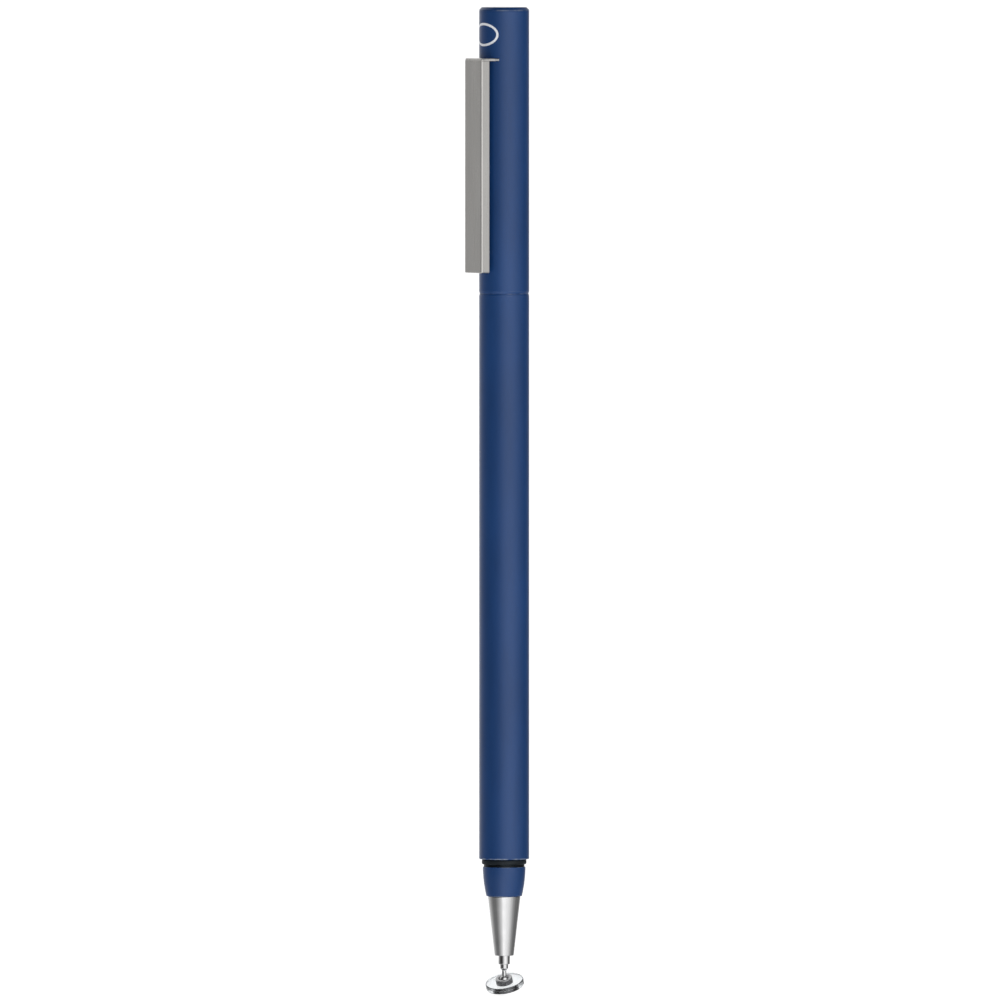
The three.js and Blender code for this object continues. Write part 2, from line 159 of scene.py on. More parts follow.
def lathe(name, outline, segments=SEGMENTS, place=None, fillet=EDGE_FILLET):
    """A turned solid about Z. The outline lists its corners with the solid on the left of the path."""
    profile = rounded(outline, fillet)
    verts, wear_and_rim_shade, rings = [], [], []
    for r, z, edge_wear_and_shade in profile:
        if r <= 1e-9:
            rings.append([len(verts)])
            verts.append((0.0, 0.0, z * MM))
            wear_and_rim_shade.append(edge_wear_and_shade)
            continue
        rings.append(list(range(len(verts), len(verts) + segments)))
        for k in range(segments):
            t = 2 * math.pi * k / segments
            verts.append((r * MM * math.cos(t), r * MM * math.sin(t), z * MM))
            wear_and_rim_shade.append(edge_wear_and_shade)
    faces = []
    for low, high in zip(rings, rings[1:] + rings[:1]):
        if len(low) == 1 and len(high) == 1:
            continue
        for k in range(segments):
            n = (k + 1) % segments
            if len(low) == 1:
                faces.append((low[0], high[n], high[k]))
            elif len(high) == 1:
                faces.append((low[k], low[n], high[0]))
            else:
                faces.append((low[k], low[n], high[n], high[k]))
    mesh = bpy.data.meshes.new(name)
    mesh.from_pydata(verts, [], faces)
    store_wear_and_rim_shade(mesh, wear_and_rim_shade)
    finish_mesh(mesh, place)
    return new_object(name, mesh)


def store_wear_and_rim_shade(mesh, wear_and_rim_shade):
    attribute = mesh.attributes.new("wear_and_rim_shade", "FLOAT", "POINT")
    attribute.data.foreach_set("value", wear_and_rim_shade)


def finish_mesh(mesh, place=None, sharp=40.0):
    """Places a mesh, points its faces out and shades it smooth up to the sharp angle."""
    if place is not None:
        mesh.transform(place)
    made = bmesh.new()
    made.from_mesh(mesh)
    bmesh.ops.remove_doubles(made, verts=made.verts, dist=1e-8)
    bmesh.ops.recalc_face_normals(made, faces=made.faces)
    made.to_mesh(mesh)
    made.free()
    mesh.polygons.foreach_set("use_smooth", [True] * len(mesh.polygons))
    mesh.set_sharp_from_angle(angle=math.radians(sharp))
    mesh.update()


def bake(obj):
    """Replaces an object's mesh by the result of its modifiers."""
    graph = bpy.context.evaluated_depsgraph_get()
    result = bpy.data.meshes.new_from_object(obj.evaluated_get(graph))
    obj.modifiers.clear()
    old = obj.data
    obj.data = result
    bpy.data.meshes.remove(old)


def combine(obj, tool, operation):
    """Cuts tool out of obj, or joins it on, and removes tool."""
    modifier = obj.modifiers.new("combine", "BOOLEAN")
    modifier.operation = operation
    modifier.solver = "EXACT"
    modifier.object = tool
    bpy.context.view_layer.update()
    bake(obj)
    bpy.data.objects.remove(tool)


def prism(name, outline, levels):
    """A solid whose plan outline is the same polygon at each level, shrunk by that level's inset.
    outline is a list of (x, y); levels is a list of (z, inset), from low to high."""
    count = len(outline)
    points = [Vector(p) for p in outline]
    inward = []
    for i, p in enumerate(points):
        a = (p - points[i - 1]).normalized()
        b = (points[(i + 1) % count] - p).normalized()
        bisector = Vector((-a.y - b.y, a.x + b.x))
        inward.append(bisector.normalized() / max(0.3, math.sqrt((1 + a.dot(b)) / 2)))
    verts = []
    for z, inset in levels:
        for p, push in zip(points, inward):
            q = p + push * inset
            verts.append((q.x * MM, q.y * MM, z * MM))
    faces = [tuple(reversed(range(count)))]
    for layer in range(len(levels) - 1):
        base = layer * count
        for k in range(count):
            n = (k + 1) % count
            faces.append((base + k, base + n, base + count + n, base + count + k))
    top = (len(levels) - 1) * count
    faces.append(tuple(range(top, top + count)))
    mesh = bpy.data.meshes.new(name)
    mesh.from_pydata(verts, [], faces)
    finish_mesh(mesh)
    return new_object(name, mesh)


def rounded_rectangle(half, y_far, y_near, far_fillet, near_fillet, steps=4):
    """Plan outline of a bar, anticlockwise, with its own fillets on the far (-Y) and near corners."""
    spots = [
        (-half, y_far, far_fillet, 180),
        (half, y_far, far_fillet, 270),
        (half, y_near, near_fillet, 0),
        (-half, y_near, near_fillet, 90),
    ]
    points = []
    margin = 0.05  # a narrow strip beside each fillet keeps the flat sides' shading flat
    for x, y, fillet, start in spots:
        cx = x - math.copysign(fillet, x)
        cy = y + fillet if y == y_far else y - fillet
        corner = arc(cx, cy, fillet, start, start + 90, steps)
        turn = math.radians(start)
        along = Vector((-math.sin(turn), math.cos(turn))) * margin
        first, last = Vector(corner[0]) - along, Vector(corner[-1]) + Vector((-along.y, along.x))
        points += [tuple(first), *corner, tuple(last)]
    return points


# ---- Materials ----
NAVY = (0.0085, 0.047, 0.165)
ANODISED_BLACK = (0.01, 0.013, 0.016)


def links(made):
    """A material's shader and short helpers to add and join nodes."""
    tree = made.node_tree
    shader = tree.nodes["Principled BSDF"]

    def add(kind, **values):
        node = tree.nodes.new(kind)
        for key, value in values.items():
            if key in node.inputs:
                node.inputs[key].default_value = value
            else:
                setattr(node, key, value)
        return node

    return shader, add, tree.links.new


def material(name, color, roughness, metallic=0.0):
    made = bpy.data.materials.new(name)
    made.use_nodes = True
    shader = made.node_tree.nodes["Principled BSDF"]
    shader.inputs["Base Color"].default_value = (*color, 1)
    shader.inputs["Roughness"].default_value = roughness
    shader.inputs["Metallic"].default_value = metallic
    return made


def stretched_noise(add, link, scale, detail, stretch=(1, 1, 1)):
    """Noise in the object's own space; scale is in features per metre before the stretch."""
    place = add("ShaderNodeTexCoord")
    mapping = add("ShaderNodeMapping")
    mapping.inputs["Scale"].default_value = stretch
    link(place.outputs["Object"], mapping.inputs["Vector"])
    noise = add("ShaderNodeTexNoise", Scale=scale, Detail=detail)
    link(mapping.outputs["Vector"], noise.inputs["Vector"])
    return noise.outputs["Fac"]


def ramp(add, link, source, low, high, from_low=0.3, from_high=0.7):
    """Source remapped to run from low to high."""
    node = add("ShaderNodeMapRange")
    node.inputs["From Min"].default_value = from_low
    node.inputs["From Max"].default_value = from_high
    node.inputs["To Min"].default_value = low
    node.inputs["To Max"].default_value = high
    link(source, node.inputs["Value"])
    return node.outputs["Result"]


def mixed_color(add, link, factor, first, second):
    """A colour between first and second; first may be a socket."""
    node = add("ShaderNodeMix")
    node.data_type = "RGBA"
    if isinstance(first, tuple):
        node.inputs[6].default_value = (*first, 1)
    else:
        link(first, node.inputs[6])
    node.inputs[7].default_value = (*second, 1)
    link(factor, node.inputs[0])
    return node.outputs[2]


def bump(add, link, shader, height, distance, strength):
    """Relief on the shader's surface; distance is in metres."""
    node = add("ShaderNodeBump")
    node.inputs["Distance"].default_value = distance
    node.inputs["Strength"].default_value = strength
    link(height, node.inputs["Height"])
    link(node.outputs["Normal"], shader.inputs["Normal"])


def worn_edge(add, link):
    """How far the finish is worn through: only on outer edges, and unevenly along them."""
    attribute = add("ShaderNodeAttribute", attribute_name="wear_and_rim_shade")
    patches = ramp(add, link, stretched_noise(add, link, 900, 3), 0.0, 1.0, 0.42, 0.72)
    node = add("ShaderNodeMath", operation="MULTIPLY")
    link(attribute.outputs["Fac"], node.inputs[0])
    link(patches, node.inputs[1])
    return node.outputs[0]


def navy_anodised():
    """Fine bead-blasted aluminium, dyed a faintly uneven navy, with bright worn edges."""
    made = material("navy_anodised", NAVY, 0.3, 0.1)
    shader, add, link = links(made)
    dye = ramp(add, link, stretched_noise(add, link, 260, 4, (1, 1, 0.25)), 0.0, 1.0)
    faded = tuple(1.14 * c for c in NAVY)
    deep = tuple(0.9 * c for c in NAVY)
    color = mixed_color(add, link, dye, deep, faded)
    color = mixed_color(add, link, worn_edge(add, link), color, (0.2, 0.24, 0.32))
    link(color, shader.inputs["Base Color"])
    blast = stretched_noise(add, link, 9000, 2)
    bump(add, link, shader, blast, 0.0000015, 0.5)
    return made


def black_anodised():
    """Turned aluminium, dyed black, with the tool's fine rings."""
    made = material("black_anodised", ANODISED_BLACK, 0.38, 0.8)
    shader, add, link = links(made)
    rings = stretched_noise(add, link, 500, 2, (0.05, 0.05, 30))
    bump(add, link, shader, rings, 0.000004, 0.5)
    color = mixed_color(add, link, worn_edge(add, link), ANODISED_BLACK, (0.1, 0.11, 0.12))
    link(color, shader.inputs["Base Color"])
    link(ramp(add, link, rings, 0.32, 0.45), shader.inputs["Roughness"])
    return made


def turned_metal(name, color, roughness, rings_height=0.000002):
    """Polished turned metal: faint rings round the axis and slightly uneven polish."""
    made = material(name, color, roughness, 1.0)
    shader, add, link = links(made)
    rings = stretched_noise(add, link, 700, 3, (0.03, 0.03, 24))
    bump(add, link, shader, rings, rings_height, 0.4)
    smears = stretched_noise(add, link, 700, 4)
    link(ramp(add, link, smears, roughness * 0.75, roughness * 1.5), shader.inputs["Roughness"])
    tarnish = ramp(add, link, stretched_noise(add, link, 350, 4), 0.0, 0.35)
    darker = tuple(c * 0.82 for c in color)
    link(mixed_color(add, link, tarnish, color, darker), shader.inputs["Base Color"])
    return made


def satin_steel():
    """Nickel-finished steel, brushed along its length."""
    made = material("satin_steel", (0.75, 0.735, 0.71), 0.3, 1.0)
    shader, add, link = links(made)
    brushing = stretched_noise(add, link, 9000, 3, (1, 1, 0.02))
    bump(add, link, shader, brushing, 0.000003, 0.55)
    link(ramp(add, link, brushing, 0.25, 0.36), shader.inputs["Roughness"])
    broad = ramp(add, link, stretched_noise(add, link, 420, 3, (1, 1, 0.15)), 0.0, 1.0)
    color = mixed_color(add, link, broad, (0.72, 0.705, 0.68), (0.79, 0.775, 0.75))
    link(color, shader.inputs["Base Color"])
    return made


def rubber():
    """Nitrile rubber with a fine moulded grain and a dusty bloom."""
    made = material("black_rubber", (0.008, 0.01, 0.013), 0.5)
    shader, add, link = links(made)
    shader.inputs["Specular IOR Level"].default_value = 0.28
    grain = stretched_noise(add, link, 6500, 3)
    bump(add, link, shader, grain, 0.000008, 0.6)
    bloom = ramp(add, link, stretched_noise(add, link, 1200, 4), 0.0, 1.0, 0.4, 0.75)
    color = mixed_color(add, link, bloom, (0.005, 0.008, 0.011), (0.01, 0.016, 0.021))
    link(color, shader.inputs["Base Color"])
    link(ramp(add, link, grain, 0.42, 0.6), shader.inputs["Roughness"])
    return made


def sleeve_plastic():
    """Moulded black acetal with faint flow marks."""
    made = material("sleeve_plastic", (0.03, 0.032, 0.035), 0.42)
    shader, add, link = links(made)
    flow = stretched_noise(add, link, 600, 3, (1, 1, 0.2))
    bump(add, link, shader, flow, 0.00001, 0.3)
    color = mixed_color(add, link, flow, (0.026, 0.028, 0.03), (0.036, 0.038, 0.042))
    link(color, shader.inputs["Base Color"])
    link(ramp(add, link, flow, 0.36, 0.5), shader.inputs["Roughness"])
    return made


def clear_plastic():
    """Clear cast plastic with faint polishing marks, and a rim greyed as painted shade, standing in for the dark
    outline that refraction gives a clear edge.
    """
    made = material("clear_plastic", (0.93, 0.96, 0.97), 0.03)
    shader, add, link = links(made)
    shader.inputs["Transmission Weight"].default_value = 1.0
    shader.inputs["IOR"].default_value = 1.46
    marks = stretched_noise(add, link, 2500, 4)
    link(ramp(add, link, marks, 0.02, 0.09), shader.inputs["Roughness"])
    bump(add, link, shader, marks, 0.000002, 0.2)
    tint = ramp(add, link, stretched_noise(add, link, 500, 2), 0.0, 1.0)
    color = mixed_color(add, link, tint, (0.87, 0.89, 0.9), (0.82, 0.85, 0.87))
    # painted shade: the rounded rim's colour is greyed to stand in for the dark outline that refraction gives a
    # clear edge
    rim = add("ShaderNodeAttribute", attribute_name="wear_and_rim_shade")
    color = mixed_color(add, link, rim.outputs["Fac"], color, (0.5, 0.52, 0.54))
    link(color, shader.inputs["Base Color"])
    return made


def etched_mark():
    """Bare metal where the dye was etched away."""
    made = material("etched_mark", (0.75, 0.78, 0.82), 0.5, 0.2)
    shader, add, link = links(made)
    frost = stretched_noise(add, link, 12000, 2)
    bump(add, link, shader, frost, 0.000003, 0.5)
    color = mixed_color(add, link, frost, (0.82, 0.85, 0.9), (0.92, 0.94, 0.97))
    link(color, shader.inputs["Base Color"])
    return made


FINISH = {
    "navy_anodised": navy_anodised(),
    "black_anodised": black_anodised(),
    "polished_steel": turned_metal("polished_steel", (0.74, 0.74, 0.745), 0.13),
    "satin_steel": satin_steel(),
    "dark_chrome": turned_metal("dark_chrome", (0.13, 0.13, 0.135), 0.2),
    "spring_steel": turned_metal("spring_steel", (0.5, 0.5, 0.51), 0.22),
    "brass": turned_metal("brass", (0.66, 0.46, 0.18), 0.28),
    "black_rubber": rubber(),
    "sleeve_plastic": sleeve_plastic(),
    "clear_plastic": clear_plastic(),
}
SLOT_OF = {s["node"]: s["material_slot"] for s in frame["record"]["subparts"]}
BODY_OF = {
    node: body
    for body, nodes in frame["record"]["behaviour"]["bodies"].items()
    for node in nodes
}


def dress(piece, node, *more_nodes):
    """Gives a piece the finish of the CAD node it replaces, and hides that node and any more given."""
    piece.data.materials.clear()
    piece.data.materials.append(FINISH[SLOT_OF[node]])
    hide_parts(node, *more_nodes)
    return piece


def stand_in(piece, node):
    """Dresses a piece that replaces one CAD node and moves with that node's body."""
    dress(piece, node)
    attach(piece, BODY_OF[node])
    return piece


# ---- Barrel ----
TUBE_WALL = 0.45
SEAM_DEPTH = 0.09  # the shallow V where the cap meets the barrel
SEAM_HEIGHT = 0.34
SEAM_FILLET = 0.06
barrel_low, barrel_high, tube_r = span("barrel_tube")
bore_r = tube_r - TUBE_WALL


def barrel():
    """The barrel's tube, with its half of the seam's V at the rear."""
    outline = [
        (bore_r, barrel_low, 0.05),
        (tube_r, barrel_low, 0.16),
        (tube_r, barrel_high - SEAM_HEIGHT, SEAM_FILLET),
        (tube_r - SEAM_DEPTH, barrel_high, 0.04),
        (bore_r, barrel_high, 0.05),
    ]
    stand_in(lathe("barrel", outline), "barrel_tube")


COLLAR_BORE_R = 1.6
COLLAR_SPIGOT_R = 2.3
COLLAR_FLANGE_R = 3.05
O_RING_SEAT_R = 2.75  # bottom of the front and rear O-ring grooves


def collar():
    """The black piece that joins barrel and nose, with the O-ring's groove above its flange."""
    low, high, outer = span("front_collar")
    flange_low = span("nose_sleeve")[1] + FIT
    flange_high = span("front_o_ring")[0] - FIT
    seat_high = barrel_low + 0.02
    outline = [
        (COLLAR_BORE_R, low, 0.05),
        (COLLAR_SPIGOT_R, low, 0.05),
        (COLLAR_SPIGOT_R, flange_low, 0.03),
        (COLLAR_FLANGE_R, flange_low, 0.05),
        (COLLAR_FLANGE_R, flange_high, 0.05),
        (O_RING_SEAT_R, flange_high, 0.03),
        (O_RING_SEAT_R, seat_high, 0.02),
        (outer, seat_high, 0.03),
        (outer, high, 0.1),
        (COLLAR_BORE_R, high, 0.1),
    ]
    stand_in(lathe("collar", outline, fillet=0), "front_collar")


def o_ring(name, node, inner_r, segments=SEGMENTS):
    """A ring of round section, squeezed between its groove and what it seals on."""
    low, high, outer = span(node)
    half_height, half_width = (high - low) / 2, (outer - inner_r) / 2
    middle_r, middle_z = (outer + inner_r) / 2, (high + low) / 2
    squeeze = 0.62  # below 1 the round section gets flatter sides
    steps = 28
    outline = []
    for k in range(steps):
        t = 2 * math.pi * k / steps
        c, s = math.cos(t), math.sin(t)
        r = middle_r + half_width * math.copysign(abs(c) ** squeeze, c)
        z = middle_z + half_height * math.copysign(abs(s) ** squeeze, s)
        outline.append((r, z))
    stand_in(lathe(name, outline, segments, fillet=0), node)


NOSE_END_R = 2.67
NOSE_BULGE = 1.9  # at 1 the sleeve would be a plain cone


def nose():
    """The tapered navy sleeve between the groove and the cone."""
    low, high, outer = span("nose_sleeve")
    bore_top = span("front_collar")[0] - FIT
    steps = 12
    curve = []
    for k in range(steps + 1):
        share = k / steps
        bulge = 1 - (1 - share) ** NOSE_BULGE
        curve.append((NOSE_END_R + (outer - NOSE_END_R) * bulge, low + (high - low) * share))
    outline = [
        (COLLAR_BORE_R, low, 0.04),
        (curve[0][0], curve[0][1], 0.1),
        *[(r, z, 0) for r, z in curve[1:-1]],
        (outer, high, 0.05),
        (COLLAR_SPIGOT_R + FIT, high, 0.04),
        (COLLAR_SPIGOT_R + FIT, bore_top, 0.02),
        (COLLAR_BORE_R, bore_top, 0.04),
    ]
    stand_in(lathe("nose", outline), "nose_sleeve")


CONE_END_R = 1.43
CONE_TAIL_R = 1.57  # the threaded tail inside the nose
CHAMBER_R = 1.05


def cone():
    """The polished cone, with the spring's chamber and a threaded tail."""
    low, high, outer = span("nose_cone")
    shoulder = span("nose_sleeve")[0] - FIT
    _, chamber_low, bush_r = span("stem_bush")
    outline = [
        (bush_r + FIT, low, 0.04),
        (CONE_END_R, low, 0.1),
        (outer, shoulder, 0.08),
        (CONE_TAIL_R, shoulder, 0.02),
        (CONE_TAIL_R, high, 0.1),
        (CHAMBER_R, high, 0.1),
        (CHAMBER_R, chamber_low, 0.02),
        (bush_r + FIT, chamber_low, 0.02),
    ]
    stand_in(lathe("cone", outline), "nose_cone")


def bush():
    """The steel bush that guides the stem."""
    low, high, outer = span("stem_bush")
    inner = STEM_R + 0.04
    outline = [
        (inner, low, 0.05),
        (outer, low, 0.09),
        (outer, high, 0.05),
        (inner, high, 0.05),
    ]
    stand_in(lathe("bush", outline, FINE_SEGMENTS), "stem_bush")


def seat_screw():
    """Grub screw with a hexagon socket in its rear face and threads down its side."""
    low, high, outer = span("spring_seat_screw")
    pitch, thread_depth = 0.25, 0.09
    outline = [(0, low), (outer - 0.1, low, 0.02)]
    count = int((high - low - 0.3) / pitch)
    for k in range(count):
        z = low + 0.15 + k * pitch
        outline += [(outer - thread_depth, z, 0), (outer, z + pitch * 0.5, 0.02)]
    outline += [(outer - 0.1, high, 0.03), (0, high)]
    screw = lathe("seat_screw", outline, FINE_SEGMENTS, fillet=0)
    socket_r, socket_depth = 0.5, 0.9
    angles = [math.radians(60 * k) for k in range(6)]
    hexagon = [(socket_r * math.cos(t), socket_r * math.sin(t)) for t in angles]
    socket = prism("socket", hexagon, [(high - socket_depth, 0), (high + 0.5, 0)])
    combine(screw, socket, "DIFFERENCE")
    finish_mesh(screw.data)
    stand_in(screw, "spring_seat_screw")


def coil_spring():
    """Round wire in seven even turns."""
    low, high, _ = span("cushion_spring")
    wire = 0.11  # radius of the wire
    radius = 0.82  # of the coil, to the middle of the wire
    turns, per_turn, around = 7, 40, 14
    steps = turns * per_turn
    bottom, top = low + wire, high - wire
    rings, verts = [], []
    for i in range(steps + 1):
        share = i / steps
        angle = 2 * math.pi * turns * share
        z = bottom + (top - bottom) * share
        out = Vector((math.cos(angle), math.sin(angle), 0))
        rings.append(len(verts))
        for k in range(around):
            t = 2 * math.pi * k / around
            p = out * (radius + wire * math.cos(t)) + Vector((0, 0, z + wire * math.sin(t)))
            verts.append(tuple(p * MM))
    faces = []
    for a, b in zip(rings, rings[1:]):
        for k in range(around):
            n = (k + 1) % around
            faces.append((a + k, b + k, b + n, a + n))
    faces.append(tuple(rings[0] + k for k in range(around)))
    faces.append(tuple(rings[-1] + k for k in reversed(range(around))))
    mesh = bpy.data.meshes.new("coil_spring")
    mesh.from_pydata(verts, [], faces)
    finish_mesh(mesh, sharp=50)
    spring = stand_in(new_object("coil_spring", mesh), "cushion_spring")
    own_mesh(spring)


WEIGHT_GROOVE_R = 2.3
WEIGHT_EDGE = 0.3


def weight():
    """The brass rod in the barrel, with a groove for each of its O-rings."""
    low, high, outer = span("balance_weight")
    outline = [(0, low), (outer, low, WEIGHT_EDGE)]
    for node in ("weight_o_ring_front", "weight_o_ring_rear"):
        ring_low, ring_high, _ = span(node)
        outline += [
            (outer, ring_low - FIT, 0.05),
            (WEIGHT_GROOVE_R, ring_low - FIT, 0.05),
            (WEIGHT_GROOVE_R, ring_high + FIT, 0.05),
            (outer, ring_high + FIT, 0.05),
        ]
    outline += [(outer, high, WEIGHT_EDGE), (0, high)]
    stand_in(lathe("weight", outline, FINE_SEGMENTS), "balance_weight")


POST_R = 2.85
POST_LAND_R = 3.22  # the land behind the groove, a running fit in the cap


def post():
    """The rear post that the cap is pushed onto."""
    low, high, outer = span("rear_post")
    ring_low, ring_high, _ = span("rear_o_ring")
    groove_low, groove_high = ring_low - FIT, ring_high + FIT
    outline = [
        (0, low),
        (outer, low, EDGE_FILLET),
        (outer, groove_low, 0.04),
        (O_RING_SEAT_R, groove_low, 0.03),
        (O_RING_SEAT_R, groove_high, 0.03),
        (POST_LAND_R, groove_high, 0.05),
        (POST_LAND_R, groove_high + 0.9, 0.08),
        (POST_R, groove_high + 1.4, 0.1),
        (POST_R, high, 0.5),
        (0, high),
    ]
    stand_in(lathe("post", outline), "rear_post")


# ---- Tip ----
def tip_place():
    """The ball joint's own frame: Z along the disc's axis, X along the first tilt's axis."""
    y = DISC_AXIS.cross(TILT_AXIS)
    turn = Matrix((TILT_AXIS, y, DISC_AXIS)).transposed()
    return Matrix.Translation(BALL) @ turn.to_4x4()


STEM_R = 0.6
NECK_R = 0.34
BALL_R = 0.72
SOCKET_R = BALL_R + 0.04
HUB_R = 1.27
HUB_TOP = 0.25  # this and the heights below are along the disc's axis, from the ball's centre
RING_LOW = HUB_TOP + 0.02
RING_TOP = 0.4
RING_THROAT_R = 0.69
RING_MOUTH_R = 0.86
DISC_TOP = -0.12
DISC_BOTTOM = -1.03
DISC_R = 2.88
DISC_EDGE = 0.16
DISC_OVERLAP = 0.01  # how far the moulded disc reaches into the hub


def stem():
    """The sprung stem: a head in the chamber, a shaft in the bush and a neck down to the ball."""
    _, high, head_r = span("stem")
    bush_low, bush_high, _ = span("stem_bush")
    neck_low = BALL.z / MM + BALL_R - 0.06
    neck_high, shaft_low = bush_low - 0.95, bush_low - 0.6
    head_low = bush_high + 0.02
    outline = [
        (0, neck_low),
        (NECK_R, neck_low, 0),
        (NECK_R, neck_high, 0.3),
        (STEM_R, shaft_low, 0.1),
        (STEM_R, head_low, 0.02),
        (head_r, head_low, 0.06),
        (head_r, high, 0.08),
        (0, high),
    ]
    stand_in(lathe("stem_rod", outline, FINE_SEGMENTS), "stem")


def ball():
    """The polished ball at the stem's end, turned about the disc's axis."""
    outline = arc(0, 0, BALL_R, -90, 90, 40)
    outline[0], outline[-1] = (0, -BALL_R), (0, BALL_R)
    piece = lathe("ball", outline, FINE_SEGMENTS, tip_place(), fillet=0)
    stand_in(piece, "pivot_ball")


def retaining_ring():
    """The snap ring that keeps the ball in its socket; it flares to let the neck tilt."""
    outline = [
        (RING_THROAT_R, RING_LOW, 0.01),
        (HUB_R, RING_LOW, 0.02),
        (HUB_R, RING_TOP, 0.07),
        (RING_MOUTH_R, RING_TOP, 0.03),
    ]
    piece = lathe("retaining_ring", outline, FINE_SEGMENTS, tip_place())
    stand_in(piece, "ball_retaining_ring")


def hub():
    """The ball's socket, which fills the disc's hole and stands above it."""
    rim = math.degrees(math.asin(HUB_TOP / SOCKET_R))
    cup = arc(0, 0, SOCKET_R, rim, -90, 24)[:-1]
    outline = [
        (0, DISC_BOTTOM),
        (HUB_R, DISC_BOTTOM, 0.04),
        (HUB_R, HUB_TOP, 0.03),
        *[(r, z, 0) for r, z in cup],
        (0, -SOCKET_R),
    ]
    stand_in(lathe("hub", outline, FINE_SEGMENTS, tip_place(), fillet=0), "disc_hub")


def clear_disc():
    """The clear disc, moulded onto the hub, so that its bore lies just under the hub's surface."""
    bore = HUB_R - DISC_OVERLAP
    outline = [
        (bore, DISC_BOTTOM, 0),
        (DISC_R, DISC_BOTTOM, DISC_EDGE),
        (DISC_R, DISC_TOP, DISC_EDGE),
        (bore, DISC_TOP, 0),
    ]
    stand_in(lathe("contact_disc", outline, SEGMENTS, tip_place()), "clear_disc")


# ---- Cap ----
def cap_sleeve():
    """The plastic liner inside the cap, with an eased mouth."""
    low, high, outer = span("cap_inner_sleeve")
    inner = 2.95
    outline = [
        (inner, low, 0.25),
        (outer, low, 0.08),
        (outer, high, 0.08),
        (inner, high, 0.08),
    ]
    stand_in(lathe("cap_sleeve", outline), "cap_inner_sleeve")


PLATE_LOW, PLATE_HIGH, PLATE_HALF = span("clip_plate")


def cap_tube():
    """The cap's tube, slotted for the clip's plate, with its half of the seam's V."""
    low, high, outer = span("cap_shell")
    outline = [
        (bore_r, low, 0.05),
        (outer - SEAM_DEPTH, low, 0.04),
        (outer, low + SEAM_HEIGHT, SEAM_FILLET),
        (outer, high, 0.02),
        (bore_r, high, 0.02),
    ]
    shell = lathe("cap_tube", outline)
    half = PLATE_HALF + FIT
    plan = [(-half, -outer - 1), (half, -outer - 1), (half, -1), (-half, -1)]
    slot = prism("slot", plan, [(PLATE_LOW - FIT, 0), (PLATE_HIGH + FIT, 0)])
    combine(shell, slot, "DIFFERENCE")
    finish_mesh(shell.data)
    stand_in(shell, "cap_shell")


PLUG_CHAMFER = 0.38


def end_plug():
    """The cap's closed end: a spigot in the tube and a chamfered head flush with it."""
    low, high, outer = span("cap_end_plug")
    head = span("cap_shell")[1] + FIT
    plug_r = bore_r - FIT
    outline = [
        (0, low),
        (plug_r, low, 0.1),
        (plug_r, head, 0.02),
        (outer, head, 0.03),
        (outer, high - PLUG_CHAMFER, 0.2),
        (outer - PLUG_CHAMFER, high, 0.03),
        (0, high),
    ]
    stand_in(lathe("end_plug", outline), "cap_end_plug")


CLIP_NEAR_Y = -4.18  # the bar's inner face
CLIP_SHOULDER_Y = -2.68  # where the plate reaches its full width
CLIP_SLOPE = 0.1  # how far the plate's edges lean in, from its underside to its top
CLIP_GROOVE = 0.06  # depth of the crease between plate and bar
CLIP_FLEX = 3.0  # length of the bar, below the plate, that bends
CLIP_FILLET = 0.17
NUB_R = 0.45
NUB_HEIGHT = 3.2  # of the nub above the bar's free end


def clip_bar(half, y_far, y_near):
    """The clip's flat bar: rounded edges and foot, close-set levels where it flexes, a crease on top."""
    foot = span("clip_bar")[0]
    edge = 0.18
    angles = [math.radians(22.5 * k) for k in range(5)]
    levels = [(foot + edge * (1 - math.cos(t)), edge * (1 - math.sin(t))) for t in angles]
    levels += [(foot + edge + 0.05, 0)]
    wide, narrow = 3.0, 0.25
    levels += [(foot + 2.2 + wide * k, 0) for k in range(9)]
    levels += [(PLATE_LOW - CLIP_FLEX + narrow * k, 0) for k in range(12)]
    levels += [
        (PLATE_LOW - 0.05, 0),
        (PLATE_LOW - 0.01, CLIP_GROOVE * 0.6),
        (PLATE_LOW, CLIP_GROOVE),
        (PLATE_LOW + 0.1, CLIP_GROOVE),
    ]
    return prism("clip", rounded_rectangle(half, y_far, y_near, CLIP_FILLET, 0.08), levels)


def clip_plate(half, y_far):
    """The level plate: as wide as the bar outside the cap, with shoulders that fill the cap's slot."""
    plate_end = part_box("clip_plate")[1].y / MM
    shoulder_low_y = CLIP_SHOULDER_Y - (PLATE_HALF - half)
    corners = rounded_rectangle(half, y_far, plate_end, CLIP_FILLET, 0)
    front = [p for p in corners if p[1] < y_far + 1]
    plan = [
        *front,
        (half, shoulder_low_y),
        (PLATE_HALF, CLIP_SHOULDER_Y),
        (PLATE_HALF, plate_end),
        (-PLATE_HALF, plate_end),
        (-PLATE_HALF, CLIP_SHOULDER_Y),
        (-half, shoulder_low_y),
    ]
    levels = [
        (PLATE_LOW, 0.02),
        (PLATE_LOW + 0.03, 0),
        (PLATE_HIGH - 0.04, CLIP_SLOPE),
        (PLATE_HIGH, CLIP_SLOPE + 0.05),
    ]
    return prism("plate", plan, levels)


def clip_nub(half, y_near):
    """The rolled nub across the bar's inner face."""
    nub_z = span("clip_bar")[0] + NUB_HEIGHT
    reach = half - 0.4
    turn = Matrix.Rotation(math.pi / 2, 4, "Y")
    place = Matrix.Translation(Vector((0, y_near - 0.1, nub_z)) * MM) @ turn
    outline = [(0, -reach), (NUB_R, -reach, 0.12), (NUB_R, reach, 0.12), (0, reach)]
    return lathe("nub", outline, 64, place)


def clip():
    """Plate and bar of one formed strip, with a rolled nub near the bar's free end."""
    bar_low, bar_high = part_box("clip_bar")
    half, y_far, y_near = bar_high.x / MM, bar_low.y / MM, CLIP_NEAR_Y
    strip = clip_bar(half, y_far, y_near)
    combine(strip, clip_plate(half, y_far), "UNION")
    combine(strip, clip_nub(half, y_near), "UNION")
    finish_mesh(strip.data)
    dress(strip, "clip_bar", "clip_plate")
    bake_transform(strip)


